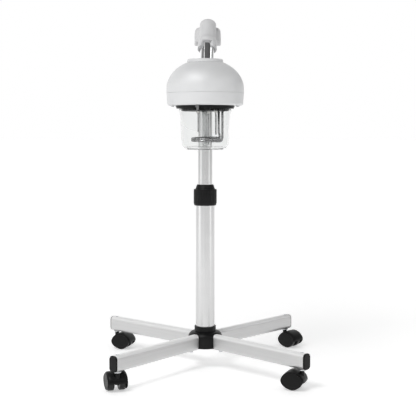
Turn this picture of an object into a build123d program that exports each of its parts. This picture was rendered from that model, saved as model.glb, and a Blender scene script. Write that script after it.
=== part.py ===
from build123d import *
import os
from math import acos, cos, degrees, radians, sin, sqrt

# Facial steamer: a domed boiler head with a hanging glass water jar and a swivelling steam
# nozzle, on a telescopic mast with four legs and twin-wheel casters.
# Millimetres, +Z up. The origin is on the floor, on the axis of the mast. The nozzle side is +Y.

# ------------------------------------------------------------------ driving dimensions
FIT = 0.05  # radial play of a running or sliding fit
GAP = 0.4  # play between neighbours that only pass each other
UP = (Align.CENTER, Align.CENTER, Align.MIN)
MAST = (0.0, 0.0)

# Mast: a 38 mm tube that slides in a 50 mm tube
LOWER_TUBE_R = 25.0
UPPER_TUBE_R = 19.0
TUBE_WALL = 1.5
LOWER_TUBE_BASE = 62.0
LOWER_TUBE_TOP = 452.0
UPPER_TUBE_BASE = 170.0
UPPER_TUBE_TOP = 712.0

# Hub and legs
HUB_R = 45.0
HUB_NECK_R = 28.5
HUB_BASE = 53.2
HUB_EDGE = 78.5
HUB_SHOULDER = 95.0
HUB_TOP = 108.2
BASE_TURN = 2.8  # the stand at rest, against the head
FRONT_SPREAD = 43.0  # from the X axis
REAR_SPREAD = 48.0
LEGS = {
    "front_right": BASE_TURN + FRONT_SPREAD,
    "front_left": BASE_TURN + 180 - FRONT_SPREAD,
    "rear_left": BASE_TURN + 180 + REAR_SPREAD,
    "rear_right": BASE_TURN + 360 - REAR_SPREAD,
}
LEG_START = 36.5
LEG_END = 346.0
LEG_WIDTH = 25.0
LEG_HEIGHT = 40.0
LEG_CORNER = 9.5
LEG_Z = 70.0
LEG_WALL = 1.5
LEG_BOLT_AT = 58.0
CAP_END = 350.0

# Casters: distance of the stem from the mast, and the way each caster trails at rest
STEM_AT = 333.5
CASTER_TRAIL = 20.0
WHEEL_R = 22.0
WHEEL_INNER_FACE = 6.8
WHEEL_OUTER_FACE = 22.8
HOOD_LONG = 29.5
HOOD_R = 24.3
HOOD_WALL = 1.4
HOOD_HALF_WIDTH = 24.8
SKIRT_LONG = 28.5
SKIRT_R = 20.8
SKIRT_WALL = 1.6
CASTER_HEADINGS = {"front_right": 320, "front_left": 340, "rear_left": 108, "rear_right": 159}

# Head: dome and pan about one vertical axis, jar and lid about another
DOME = (0.0, -71.0)
DOME_R = 99.5
DOME_RISE = 76.0
SEAM = 724.0
DOME_SPRING = 735.0
DOME_FLAT_R = 47.0
SHELL = 3.0
PAN_BASE = 691.5
PAN_BASE_R = 97.1
PAN_CORNER = 6.0
JAR = (0.0, -88.0)
JAR_R = 66.7
JAR_NECK_R = 60.0
JAR_WALL = 3.0
JAR_RIM = 688.5
JAR_SHOULDER = 680.3
JAR_BASE = 582.6
JAR_FOOT = 579.3
PLATE_BASE = 684.0
PLATE_R = 75.0
RECESS_R = 65.3
LID_PLUG_R = 56.6
LID_FLANGE_R = 66.4
LID_BASE = 678.0
LID_TOP = PAN_BASE + SHELL

# Arm and nozzle
TURRET_R = 46.0
TURRET_NECK_R = 38.2
TURRET_BASE = 781.0
TURRET_UNDERSIDE = 802.3
TURRET_TOP = 810.3
ARM_ROOT_X = 4.0
ARM_ROOT_Z = 802.0
ARM_R = 18.0
ARM_LEAN = 32.0  # from the vertical
ARM_TURN = 3.0  # clockwise from +Y, seen from above
ELBOW_R = 21.7
SLEEVE_R = 24.0
HOOD_PITCH = 20.0  # downwards


# ------------------------------------------------------------------ helpers
def upright_plane(centre):
    """Vertical plane through centre, where local x is the radius and local y the height."""
    return Plane(origin=(centre[0], centre[1], 0), x_dir=(1, 0, 0), z_dir=(0, -1, 0))


def upright_axis(centre):
    """Vertical line through centre."""
    return Axis((centre[0], centre[1], 0), (0, 0, 1))


def outline(points, plane):
    """Face inside a closed run of straight lines on a plane."""
    with BuildSketch(plane) as flat:
        with BuildLine():
            Polyline(*points, close=True)
        make_face()
    return flat.sketch


def ring(inner, outer, low, high):
    """Corners of a plain ring's section, as (radius, height) points."""
    return [(inner, low), (outer, low), (outer, high), (inner, high)]


def polar(radius, angle, centre=MAST):
    """Point at a distance and an angle from a centre."""
    return (centre[0] + radius * cos(radians(angle)), centre[1] + radius * sin(radians(angle)))


def radial_plane(distance, angle, height, centre=MAST):
    """Plane across a radius: local x is sideways, local y is up, and the normal points outwards."""
    x, y = polar(distance, angle, centre)
    out = (cos(radians(angle)), sin(radians(angle)), 0)
    return Plane(origin=(x, y, height), x_dir=(-out[1], out[0], 0), z_dir=out)


def save(piece, name):
    """Label a finished piece and write its STEP file."""
    piece.part.label = name
    export_step(piece.part, f"parts/{name}.step")


os.makedirs("parts", exist_ok=True)

# ------------------------------------------------------------------ hub
HUB_ROUND = HUB_SHOULDER - HUB_EDGE
HUB_BORE_R = LOWER_TUBE_R + 0.1
SOCKET_PLAY = 0.2
SPIGOT_END = 72.0
SPIGOT_WIDTH = LEG_WIDTH - 2 * LEG_WALL - 2 * GAP
SPIGOT_HEIGHT = LEG_HEIGHT - 2 * LEG_WALL - 2 * GAP
SPIGOT_CORNER = LEG_CORNER - LEG_WALL - GAP
BOLT_R = 3.0
TUBE_BOLT_Z = 102.0

with BuildPart() as hub:
    with BuildSketch(upright_plane(MAST)):
        with BuildLine():
            Line((0, HUB_BASE), (HUB_R - 2, HUB_BASE))
            Line((HUB_R - 2, HUB_BASE), (HUB_R, HUB_BASE + 2))
            Line((HUB_R, HUB_BASE + 2), (HUB_R, HUB_SHOULDER - HUB_ROUND))
            RadiusArc((HUB_R, HUB_SHOULDER - HUB_ROUND), (HUB_NECK_R, HUB_SHOULDER), -HUB_ROUND)
            Line((HUB_NECK_R, HUB_SHOULDER), (HUB_NECK_R, HUB_TOP))
            Line((HUB_NECK_R, HUB_TOP), (0, HUB_TOP))
            Line((0, HUB_TOP), (0, HUB_BASE))
        make_face()
    revolve(axis=upright_axis(MAST))
    with Locations((0, 0, LOWER_TUBE_BASE)):
        Cylinder(HUB_BORE_R, HUB_TOP, align=UP, mode=Mode.SUBTRACT)
    for angle in LEGS.values():
        with BuildSketch(radial_plane(LEG_START - SOCKET_PLAY, angle, LEG_Z)):
            RectangleRounded(LEG_WIDTH + SOCKET_PLAY, LEG_HEIGHT + SOCKET_PLAY, LEG_CORNER)
        extrude(amount=HUB_R, mode=Mode.SUBTRACT)
        with BuildSketch(radial_plane(LEG_START - 2, angle, LEG_Z)):
            RectangleRounded(SPIGOT_WIDTH, SPIGOT_HEIGHT, SPIGOT_CORNER)
        extrude(amount=SPIGOT_END - LEG_START + 2)
        with Locations((*polar(LEG_BOLT_AT, angle), LEG_Z - LEG_HEIGHT / 2)):
            Cylinder(BOLT_R + FIT, LEG_HEIGHT / 2, align=UP, mode=Mode.SUBTRACT)
    with BuildSketch(radial_plane(0, 90, TUBE_BOLT_Z)):
        Circle(BOLT_R + FIT)
    extrude(amount=HUB_R, mode=Mode.SUBTRACT)
save(hub, "hub")

# ------------------------------------------------------------------ legs, end caps and leg bolts
LEG_HOLE_R = 4.3

for side, angle in LEGS.items():
    with BuildPart() as leg:
        with BuildSketch(radial_plane(LEG_START, angle, LEG_Z)):
            RectangleRounded(LEG_WIDTH, LEG_HEIGHT, LEG_CORNER)
            RectangleRounded(
                LEG_WIDTH - 2 * LEG_WALL,
                LEG_HEIGHT - 2 * LEG_WALL,
                LEG_CORNER - LEG_WALL,
                mode=Mode.SUBTRACT,
            )
        extrude(amount=LEG_END - LEG_START)
        with Locations(polar(STEM_AT, angle)):
            Cylinder(LEG_HOLE_R, 2 * HUB_TOP, mode=Mode.SUBTRACT)
        with Locations((*polar(LEG_BOLT_AT, angle), 0)):
            Cylinder(BOLT_R + GAP, LEG_Z, align=UP, mode=Mode.SUBTRACT)
    save(leg, f"leg_{side}")

PLUG_LENGTH = 6.0

with BuildPart() as leg_end_caps:
    for angle in LEGS.values():
        with BuildSketch(radial_plane(LEG_END - PLUG_LENGTH, angle, LEG_Z)):
            RectangleRounded(SPIGOT_WIDTH, SPIGOT_HEIGHT, SPIGOT_CORNER)
            RectangleRounded(
                SPIGOT_WIDTH - 2 * SHELL, SPIGOT_HEIGHT - 2 * SHELL, SHELL, mode=Mode.SUBTRACT
            )
        extrude(amount=PLUG_LENGTH)
        with BuildSketch(radial_plane(LEG_END, angle, LEG_Z)):
            RectangleRounded(LEG_WIDTH, LEG_HEIGHT, LEG_CORNER)
        extrude(amount=CAP_END - LEG_END - 2)
        with BuildSketch(radial_plane(CAP_END - 2, angle, LEG_Z)):
            RectangleRounded(LEG_WIDTH, LEG_HEIGHT, LEG_CORNER)
        extrude(amount=2, taper=40)
save(leg_end_caps, "leg_end_caps")

BOLT_HEAD_R = 5.0
BOLT_HEAD_HEIGHT = 3.4
BOLT_KEY_R = 3.0
BOLT_KEY_DEPTH = 2.0
LEG_UNDERSIDE = LEG_Z - LEG_HEIGHT / 2
tube_bolt_length = HUB_NECK_R - LOWER_TUBE_R + TUBE_WALL
# Each screw starts under its head: four go up into the legs, one goes through the hub's neck.
bolt_seats = [
    (Plane(origin=(*polar(LEG_BOLT_AT, angle), LEG_UNDERSIDE - FIT)), LEG_HEIGHT / 2 - 2)
    for angle in LEGS.values()
]
neck_seat = radial_plane(HUB_NECK_R + FIT, 90, TUBE_BOLT_Z)
bolt_seats.append((Plane(origin=neck_seat.origin, z_dir=(0, -1, 0)), tube_bolt_length))

with BuildPart() as hub_bolts:
    for seat, length in bolt_seats:
        with BuildSketch(seat):
            Circle(BOLT_R)
        extrude(amount=length)
        with BuildSketch(seat):
            Circle(BOLT_HEAD_R)
        extrude(amount=-BOLT_HEAD_HEIGHT)
        with BuildSketch(seat.offset(-BOLT_HEAD_HEIGHT)):
            RegularPolygon(BOLT_KEY_R, 6)
        extrude(amount=BOLT_KEY_DEPTH, mode=Mode.SUBTRACT)
save(hub_bolts, "hub_bolts")

# ------------------------------------------------------------------ casters
STEM_R = 4.0
STEM_FOOT = 24.5
STEM_FLANGE = 47.4
stem_top = LEG_Z + LEG_HEIGHT / 2 + 1.0

with BuildPart() as caster_stems:
    for angle in LEGS.values():
        place = polar(STEM_AT, angle)
        with Locations((*place, STEM_FOOT)):
            Cylinder(STEM_R, stem_top - STEM_FOOT, align=UP)
        with Locations((*place, STEM_FLANGE)):
            Cylinder(2 * STEM_R + 1, LEG_UNDERSIDE - STEM_FLANGE, align=UP)
save(caster_stems, "caster_stems")

AXLE_R = 3.0
AXLE_HALF = 18.0
BOSS_R = 6.0
BOSS_TOP = 46.6
WEB_HALF = 6.0
HOOD_DROP = 5.0
WHEEL_SECTION = [
    (AXLE_R + FIT, WHEEL_INNER_FACE),
    (WHEEL_R - 1.2, WHEEL_INNER_FACE),
    (WHEEL_R, WHEEL_INNER_FACE + 1.2),
    (WHEEL_R, WHEEL_OUTER_FACE - 4),
    (WHEEL_R - 1, WHEEL_OUTER_FACE - 1.6),
    (WHEEL_R - 3.2, WHEEL_OUTER_FACE),
    (15.5, WHEEL_OUTER_FACE),
    (14.5, WHEEL_OUTER_FACE - 2),
    (8.0, WHEEL_OUTER_FACE - 2),
    (7.0, WHEEL_OUTER_FACE - 0.5),
    (0, WHEEL_OUTER_FACE - 0.5),
    (0, AXLE_HALF + 0.6),
    (AXLE_R + FIT, AXLE_HALF + 0.6),
]

for side, heading in CASTER_HEADINGS.items():
    stem = polar(STEM_AT, LEGS[side])
    trail = (cos(radians(heading)), sin(radians(heading)), 0)
    axle_way = (trail[1], -trail[0], 0)
    hood_plane = Plane(origin=(*stem, 0), x_dir=trail, z_dir=axle_way)
    wheel_centre = (*polar(CASTER_TRAIL, heading, stem), WHEEL_R)
    wheel_plane = Plane(origin=wheel_centre, x_dir=(0, 0, 1), z_dir=trail)
    axle_line = Axis(wheel_centre, axle_way)

    with BuildPart() as caster_hood:
        with BuildSketch(hood_plane):
            with Locations((CASTER_TRAIL, WHEEL_R)):
                Ellipse(HOOD_LONG, HOOD_R)
                Ellipse(HOOD_LONG - HOOD_WALL, HOOD_R - HOOD_WALL, mode=Mode.SUBTRACT)
            with Locations((CASTER_TRAIL, WHEEL_R - HOOD_DROP)):
                below = (Align.CENTER, Align.MAX)
                Rectangle(2 * HOOD_LONG, HOOD_R, align=below, mode=Mode.SUBTRACT)
        extrude(amount=HOOD_HALF_WIDTH, both=True)
        for way in (1, -1):
            with BuildSketch(hood_plane.offset(way * (HOOD_HALF_WIDTH - SKIRT_WALL))):
                with Locations((CASTER_TRAIL, WHEEL_R)):
                    Ellipse(SKIRT_LONG, SKIRT_R)
            extrude(amount=way * SKIRT_WALL)
        with BuildSketch(hood_plane):
            with Locations((CASTER_TRAIL, WHEEL_R)):
                Circle(HOOD_R - HOOD_WALL + FIT)
            with Locations((CASTER_TRAIL, WHEEL_R - BOSS_R)):
                Rectangle(2 * HOOD_R, 2 * HOOD_R, align=below, mode=Mode.SUBTRACT)
            with Locations((CASTER_TRAIL, WHEEL_R)):
                Circle(AXLE_R + FIT, mode=Mode.SUBTRACT)
        extrude(amount=WEB_HALF, both=True)
        with Locations((*stem, WHEEL_R - BOSS_R)):
            Cylinder(BOSS_R, BOSS_TOP - WHEEL_R + BOSS_R, align=UP)
        with Locations((*stem, STEM_FOOT - GAP)):
            Cylinder(STEM_R + FIT, BOSS_TOP, align=UP, mode=Mode.SUBTRACT)
    save(caster_hood, f"caster_hood_{side}")

    with BuildPart() as caster_axle:
        with BuildSketch(Plane(origin=wheel_centre, x_dir=trail, z_dir=axle_way)):
            Circle(AXLE_R)
        extrude(amount=AXLE_HALF, both=True)
    save(caster_axle, f"caster_axle_{side}")

    for hand, way in (("a", 1), ("b", -1)):
        with BuildPart() as caster_wheel:
            with BuildSketch(wheel_plane):
                with BuildLine():
                    Polyline(*[(r, way * w) for r, w in WHEEL_SECTION], close=True)
                make_face()
            revolve(axis=axle_line)
        save(caster_wheel, f"caster_wheel_{side}_{hand}")

# ------------------------------------------------------------------ mast
with BuildPart() as lower_tube:
    with BuildSketch(Plane.XY.offset(LOWER_TUBE_BASE + GAP)):
        Circle(LOWER_TUBE_R)
        Circle(LOWER_TUBE_R - TUBE_WALL, mode=Mode.SUBTRACT)
    extrude(amount=LOWER_TUBE_TOP - LOWER_TUBE_BASE - GAP)
    with BuildSketch(radial_plane(0, 90, TUBE_BOLT_Z)):
        Circle(BOLT_R + GAP)
    extrude(amount=HUB_R, mode=Mode.SUBTRACT)
save(lower_tube, "lower_tube")

COLLET_BASE = 434.0
COLLET_STEP = 456.0
COLLET_TOP = 474.0
COLLET_R = 27.4
COLLET_NECK_R = 22.0
lower_bore_r = LOWER_TUBE_R - TUBE_WALL
collet_section = [
    (UPPER_TUBE_R + FIT, COLLET_BASE + 2),
    (lower_bore_r - FIT, COLLET_BASE + 2),
    (lower_bore_r - FIT, LOWER_TUBE_TOP + FIT),
    (LOWER_TUBE_R + FIT, LOWER_TUBE_TOP + FIT),
    (LOWER_TUBE_R + FIT, COLLET_BASE),
    (COLLET_R, COLLET_BASE),
    (COLLET_R, COLLET_STEP),
    (COLLET_NECK_R, COLLET_STEP),
    (COLLET_NECK_R - 1, COLLET_TOP),
    (UPPER_TUBE_R + FIT, COLLET_TOP),
]
SPLIT_WIDTH = 1.6

with BuildPart() as tube_collet:
    revolve(outline(collet_section, upright_plane(MAST)), axis=upright_axis(MAST))
    for angle in (0, 60, 120):
        with Locations(Location((0, 0, COLLET_STEP), (0, 0, angle))):
            Box(2 * COLLET_R, SPLIT_WIDTH, COLLET_TOP, align=UP, mode=Mode.SUBTRACT)
save(tube_collet, "tube_collet")

COLLAR_BASE = 430.0
COLLAR_TOP = 485.0
COLLAR_GRIP_R = 30.7
COLLAR_CHAMFER = 1.6
COLLAR_CONE = 12.0
COLLAR_CONE_R = 26.2
collar_section = [
    (COLLET_R + GAP, COLLAR_BASE),
    (COLLAR_GRIP_R - COLLAR_CHAMFER, COLLAR_BASE),
    (COLLAR_GRIP_R, COLLAR_BASE + 4 * COLLAR_CHAMFER),
    (COLLAR_GRIP_R, COLLAR_TOP - COLLAR_CONE - COLLAR_CHAMFER),
    (COLLAR_GRIP_R - COLLAR_CHAMFER, COLLAR_TOP - COLLAR_CONE),
    (COLLAR_CONE_R, COLLAR_TOP - COLLAR_CONE),
    (COLLET_NECK_R, COLLAR_TOP),
    (UPPER_TUBE_R + GAP, COLLAR_TOP),
    (UPPER_TUBE_R + GAP, COLLET_TOP + GAP),
    (COLLET_NECK_R + GAP, COLLET_TOP + GAP),
    (COLLET_NECK_R + GAP, COLLET_STEP + GAP),
    (COLLET_R + GAP, COLLET_STEP + GAP),
]
FLUTES = 24
FLUTE_R = 2.0

with BuildPart() as lock_collar:
    revolve(outline(collar_section, upright_plane(MAST)), axis=upright_axis(MAST))
    with BuildSketch(Plane.XY.offset(COLLAR_BASE)):
        with PolarLocations(COLLAR_GRIP_R + FLUTE_R / 2, FLUTES):
            Circle(FLUTE_R)
    extrude(amount=COLLAR_TOP - COLLAR_CONE - COLLAR_BASE, mode=Mode.SUBTRACT)
save(lock_collar, "lock_collar")

BUSH_BASE = 150.0
BUSH_TOP = 190.0
BUSH_BORE_R = 12.0
upper_bore_r = UPPER_TUBE_R - TUBE_WALL
bush_section = [
    (BUSH_BORE_R, BUSH_BASE),
    (lower_bore_r - FIT, BUSH_BASE),
    (lower_bore_r - FIT, UPPER_TUBE_BASE - FIT),
    (upper_bore_r - FIT, UPPER_TUBE_BASE - FIT),
    (upper_bore_r - FIT, BUSH_TOP),
    (BUSH_BORE_R, BUSH_TOP),
]

with BuildPart() as mast_bush:
    revolve(outline(bush_section, upright_plane(MAST)), axis=upright_axis(MAST))
save(mast_bush, "mast_bush")

with BuildPart() as upper_tube:
    with BuildSketch(Plane.XY.offset(UPPER_TUBE_BASE)):
        Circle(UPPER_TUBE_R)
        Circle(upper_bore_r, mode=Mode.SUBTRACT)
    extrude(amount=UPPER_TUBE_TOP - UPPER_TUBE_BASE)
save(upper_tube, "upper_tube")

SOCKET_R = 22.0

with BuildPart() as mast_socket:
    socket_section = ring(UPPER_TUBE_R + FIT, SOCKET_R, LID_TOP + 0.1, UPPER_TUBE_TOP - 2)
    revolve(outline(socket_section, upright_plane(MAST)), axis=upright_axis(MAST))
save(mast_socket, "mast_socket")

# ------------------------------------------------------------------ head: pan, dome and screws
PAN_FLARE = (DOME_R - PAN_BASE_R) / (SEAM - PAN_BASE)
PAN_TOP = SEAM - GAP
SCREW_ANGLES = (0, 45, 135, 180)
SCREW_AT = 84.0
SCREW_R = 2.0
SWITCH_ANGLES = {"power": 67, "ozone": 113}
SWITCH_Z = 710.5
SWITCH_WIDTH = 19.0
SWITCH_HEIGHT = 12.6
INLET_ANGLE = 25.0
INLET_Z = 708.5
INLET_WIDTH = 27.0
INLET_HEIGHT = 19.0
CUT_FROM = 78.0  # radius that the openings in the pan and the panel are cut outwards from
CUT_DEPTH = 30.0


def pan_radius(height):
    """Outer radius of the tapered pan at a height."""
    return PAN_BASE_R + PAN_FLARE * (height - PAN_BASE)


pan_section = [
    (0, PAN_BASE),
    (PAN_BASE_R, PAN_BASE),
    (pan_radius(PAN_TOP), PAN_TOP),
    (pan_radius(PAN_TOP) - SHELL, PAN_TOP),
    (pan_radius(LID_TOP) - SHELL, LID_TOP),
    (0, LID_TOP),
]

with BuildPart() as base_pan:
    revolve(outline(pan_section, upright_plane(DOME)), axis=upright_axis(DOME))
    lowest = base_pan.edges().filter_by(GeomType.CIRCLE).group_by(Axis.Z)[0]
    fillet(lowest, PAN_CORNER)
    with Locations((*JAR, PAN_BASE)):
        Cylinder(LID_FLANGE_R + GAP, SHELL, align=UP, mode=Mode.SUBTRACT)
    with Locations((*MAST, PAN_BASE)):
        Cylinder(UPPER_TUBE_R + FIT, SHELL, align=UP, mode=Mode.SUBTRACT)
    for angle in SCREW_ANGLES:
        with Locations((*polar(SCREW_AT, angle, DOME), PAN_BASE)):
            Cylinder(SCREW_R + GAP, SHELL, align=UP, mode=Mode.SUBTRACT)
    for angle in SWITCH_ANGLES.values():
        with BuildSketch(radial_plane(CUT_FROM, angle, SWITCH_Z, DOME)):
            Rectangle(SWITCH_WIDTH + GAP, SWITCH_HEIGHT + GAP)
        extrude(amount=CUT_DEPTH, mode=Mode.SUBTRACT)
    with BuildSketch(radial_plane(CUT_FROM, INLET_ANGLE, INLET_Z, DOME)):
        Rectangle(INLET_WIDTH + GAP, INLET_HEIGHT + GAP)
    extrude(amount=CUT_DEPTH, mode=Mode.SUBTRACT)
save(base_pan, "base_pan")

dome_end_angle = degrees(acos(DOME_FLAT_R / DOME_R))
dome_flat_z = DOME_SPRING + DOME_RISE * sqrt(1 - (DOME_FLAT_R / DOME_R) ** 2)
inner_r = DOME_R - SHELL
inner_rise = DOME_RISE - SHELL
inner_end_angle = degrees(acos(DOME_FLAT_R / inner_r))
inner_flat_z = DOME_SPRING + inner_rise * sqrt(1 - (DOME_FLAT_R / inner_r) ** 2)
DOME_HOLE_R = TURRET_NECK_R + GAP
LIP_BASE = 718.0
POST_R = 5.0
POST_TOP = 767.0
POST_BORE_DEPTH = 20.0
LIP_THICK = 2.5

with BuildPart() as dome_cover:
    with BuildSketch(upright_plane(DOME)):
        with BuildLine():
            Line((DOME_R, SEAM), (DOME_R, DOME_SPRING))
            EllipticalCenterArc((0, DOME_SPRING), DOME_R, DOME_RISE, arc_size=dome_end_angle)
            Line((DOME_FLAT_R, dome_flat_z), (DOME_HOLE_R, dome_flat_z))
            Line((DOME_HOLE_R, dome_flat_z), (DOME_HOLE_R, inner_flat_z))
            Line((DOME_HOLE_R, inner_flat_z), (DOME_FLAT_R, inner_flat_z))
            EllipticalCenterArc((0, DOME_SPRING), inner_r, inner_rise, arc_size=inner_end_angle)
            Line((inner_r, DOME_SPRING), (inner_r, SEAM))
            Line((inner_r, SEAM), (DOME_R, SEAM))
        make_face()
    revolve(axis=upright_axis(DOME))
    lip_outer = pan_radius(LIP_BASE) - SHELL - GAP
    lip_section = [
        (lip_outer - LIP_THICK, LIP_BASE),
        (lip_outer, LIP_BASE),
        (lip_outer, SEAM),
        (inner_r + 0.5, SEAM),
        (inner_r + 0.5, SEAM + 2),
        (lip_outer - LIP_THICK, SEAM + 2),
    ]
    revolve(outline(lip_section, upright_plane(DOME)), axis=upright_axis(DOME))
    for angle in SCREW_ANGLES:
        with Locations((*polar(SCREW_AT, angle, DOME), LID_TOP + 0.1)):
            Cylinder(POST_R, POST_TOP - LID_TOP, align=UP)
            Cylinder(SCREW_R + FIT, POST_BORE_DEPTH, align=UP, mode=Mode.SUBTRACT)
save(dome_cover, "dome_cover")

SCREW_HEAD_R = 3.6
SCREW_HEAD_HEIGHT = 2.3
SCREW_LENGTH = 18.0
SLOT_LENGTH = 5.0
SLOT_DEPTH = 1.2

with BuildPart() as dome_screws:
    for angle in SCREW_ANGLES:
        with Locations((*polar(SCREW_AT, angle, DOME), PAN_BASE - SCREW_HEAD_HEIGHT - 2 * FIT)):
            Cylinder(SCREW_HEAD_R, SCREW_HEAD_HEIGHT, align=UP)
            Cylinder(SCREW_R, SCREW_LENGTH, align=UP)
            Box(SLOT_LENGTH, 1, SLOT_DEPTH, align=UP, mode=Mode.SUBTRACT)
            Box(1, SLOT_LENGTH, SLOT_DEPTH, align=UP, mode=Mode.SUBTRACT)
save(dome_screws, "dome_screws")

# ------------------------------------------------------------------ underplate and relief valve
PLATE_STEP = 687.5
VALVE_AT = (-18.5, -158.4)
VALVE_ACROSS = 11.5
VALVE_OUTLET_R = 3.4
VALVE_BORE_R = 1.8
VALVE_OUTLET = 7.0
NOTCH_WIDTH = 14.4
NOTCH_LENGTH = 30.0
NOTCH_BACK = -152.3
TONGUE_R = 24.0

with BuildPart() as underplate:
    for inset, low, high in ((1.5, PLATE_BASE, PLATE_STEP), (0, PLATE_STEP, PAN_BASE - 0.05)):
        with BuildSketch(Plane.XY.offset(low)):
            with Locations(JAR):
                Circle(PLATE_R - inset)
            Circle(TONGUE_R - inset)
            make_hull()
            with Locations(JAR):
                Circle(RECESS_R, mode=Mode.SUBTRACT)
            Circle(UPPER_TUBE_R + FIT, mode=Mode.SUBTRACT)
            with Locations((VALVE_AT[0], NOTCH_BACK)):
                Rectangle(NOTCH_WIDTH, NOTCH_LENGTH, align=(Align.CENTER, Align.MAX), mode=Mode.SUBTRACT)
        extrude(amount=high - low)
save(underplate, "underplate")

with BuildPart() as relief_valve:
    with BuildSketch(Plane.XY.offset(PLATE_BASE + 1.5)):
        with Locations(VALVE_AT):
            RegularPolygon(VALVE_ACROSS / 2, 6, major_radius=False)
            Circle(VALVE_BORE_R, mode=Mode.SUBTRACT)
    extrude(amount=PAN_BASE - PLATE_BASE - 1.6)
    with BuildSketch(Plane.XY.offset(PLATE_BASE + 1.5 - VALVE_OUTLET)):
        with Locations(VALVE_AT):
            Circle(VALVE_OUTLET_R)
            Circle(VALVE_BORE_R, mode=Mode.SUBTRACT)
    extrude(amount=VALVE_OUTLET)
save(relief_valve, "relief_valve")

# ------------------------------------------------------------------ boiler lid and what hangs from it
STEAM_BORE_R = 13.0
ROD_R = 3.25
COIL_CENTRE = (3.5, JAR[1])
COIL_R = 37.4
COIL_HIGH = 609.5
COIL_LOW = 600.0
ROD_A = (44.0, JAR[1] - 3)
ROD_B = (35.0, JAR[1] + 19)
THERMOSTAT = (27.0, JAR[1] - 17)
THERMOSTAT_R = 2.0
LEVEL_PROBE = (-18.5, -52.5)
LOW_PROBE = (9.2, -44.0)
PROBE_R = 1.3
LEVEL_PROBE_END = 623.0
LOW_PROBE_END = 591.0
LAMP = (-46.0, -74.0)

with BuildPart() as boiler_lid:
    with Locations((*JAR, LID_BASE)):
        Cylinder(LID_PLUG_R, PAN_BASE - LID_BASE, align=UP)
    with Locations((*JAR, PAN_BASE)):
        Cylinder(LID_FLANGE_R, SHELL, align=UP)
    with Locations((*DOME, LID_BASE)):
        Cylinder(STEAM_BORE_R, 2 * SHELL + PAN_BASE - LID_BASE, align=UP, mode=Mode.SUBTRACT)
    for place, hole_r in (
        (ROD_A, ROD_R),
        (ROD_B, ROD_R),
        (THERMOSTAT, THERMOSTAT_R),
        (LEVEL_PROBE, PROBE_R),
        (LOW_PROBE, PROBE_R),
    ):
        with Locations((*place, LID_BASE)):
            Cylinder(hole_r + FIT, 2 * (LID_TOP - LID_BASE), align=UP, mode=Mode.SUBTRACT)
save(boiler_lid, "boiler_lid")

NUT_R = 7.5
NUT_HEIGHT = 5.0
TERMINAL = 4.0
rod_top = LID_TOP + NUT_HEIGHT + TERMINAL

with BuildPart() as heater_coil:
    for height in (COIL_LOW, COIL_HIGH):
        with Locations((*COIL_CENTRE, height)):
            Torus(COIL_R, ROD_R)
    with Locations((*ROD_A, COIL_LOW)):
        Cylinder(ROD_R, rod_top - COIL_LOW, align=UP)
    with Locations((*ROD_B, COIL_HIGH)):
        Cylinder(ROD_R, rod_top - COIL_HIGH, align=UP)
    with Locations((*ROD_A, COIL_LOW), (*ROD_B, COIL_HIGH)):
        Sphere(ROD_R)
save(heater_coil, "heater_coil")

with BuildPart() as heater_nuts:
    with BuildSketch(Plane.XY.offset(LID_TOP + 0.1)):
        with Locations(ROD_A, ROD_B):
            RegularPolygon(NUT_R, 6)
            Circle(ROD_R + FIT, mode=Mode.SUBTRACT)
    extrude(amount=NUT_HEIGHT)
save(heater_nuts, "heater_nuts")

PROBES = (
    (THERMOSTAT, THERMOSTAT_R, COIL_HIGH + 8),
    (LEVEL_PROBE, PROBE_R, LEVEL_PROBE_END),
    (LOW_PROBE, PROBE_R, LOW_PROBE_END),
)

with BuildPart() as water_probes:
    for place, rod_r, end in PROBES:
        with Locations((*place, end)):
            Cylinder(rod_r, rod_top - end, align=UP)
save(water_probes, "water_probes")

GLAND_R = 5.0

with BuildPart() as probe_glands:
    for place, rod_r, _ in PROBES:
        with BuildSketch(Plane.XY.offset(LID_TOP + 0.1)):
            with Locations(place):
                Circle(GLAND_R)
                Circle(rod_r + FIT, mode=Mode.SUBTRACT)
        extrude(amount=NUT_HEIGHT)
        with BuildSketch(Plane.XY.offset(LID_BASE - NUT_HEIGHT - 0.1)):
            with Locations(place):
                Circle(GLAND_R - 1)
                Circle(rod_r + FIT, mode=Mode.SUBTRACT)
        extrude(amount=NUT_HEIGHT)
save(probe_glands, "probe_glands")

RISER_R = 16.0
RISER_FLANGE_R = 20.0
SEAL_HEIGHT = 6.0
riser_top = TURRET_BASE - 0.6
riser_section = [
    (STEAM_BORE_R, LID_TOP + 0.1),
    (RISER_FLANGE_R, LID_TOP + 0.1),
    (RISER_FLANGE_R, LID_TOP + SHELL),
    (RISER_R, LID_TOP + SHELL),
    (RISER_R, riser_top),
    (STEAM_BORE_R, riser_top),
]

with BuildPart() as steam_riser:
    revolve(outline(riser_section, upright_plane(DOME)), axis=upright_axis(DOME))
save(steam_riser, "steam_riser")

with BuildPart() as turret_seal:
    seal_section = ring(RISER_R + FIT, RISER_FLANGE_R, riser_top - SEAL_HEIGHT, riser_top)
    revolve(outline(seal_section, upright_plane(DOME)), axis=upright_axis(DOME))
save(turret_seal, "turret_seal")

LAMP_R = 8.0
HOLDER_HEIGHT = 14.0
LAMP_TOP = 758.0

with BuildPart() as ozone_lamp:
    with Locations((*LAMP, LID_TOP + 0.1)):
        Cylinder(LAMP_R + 2, HOLDER_HEIGHT, align=UP)
        Cylinder(LAMP_R, LAMP_TOP - LAMP_R - LID_TOP, align=UP)
    with Locations((*LAMP, LAMP_TOP - LAMP_R)):
        Sphere(LAMP_R)
save(ozone_lamp, "ozone_lamp")

BOARD = (-6.0, -143.0)
BOARD_SIZE = (64.0, 1.6, 38.0)
CHIP_WIDTH = 12.0
CHIP_DEPTH = 8.0
CHIP_Z = LID_TOP + CHIP_DEPTH
CHIP_HEIGHTS = {-22: 14, 0: 20, 20: 10}  # by place along the board
chip_y = BOARD[1] + (BOARD_SIZE[1] + CHIP_DEPTH) / 2

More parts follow.
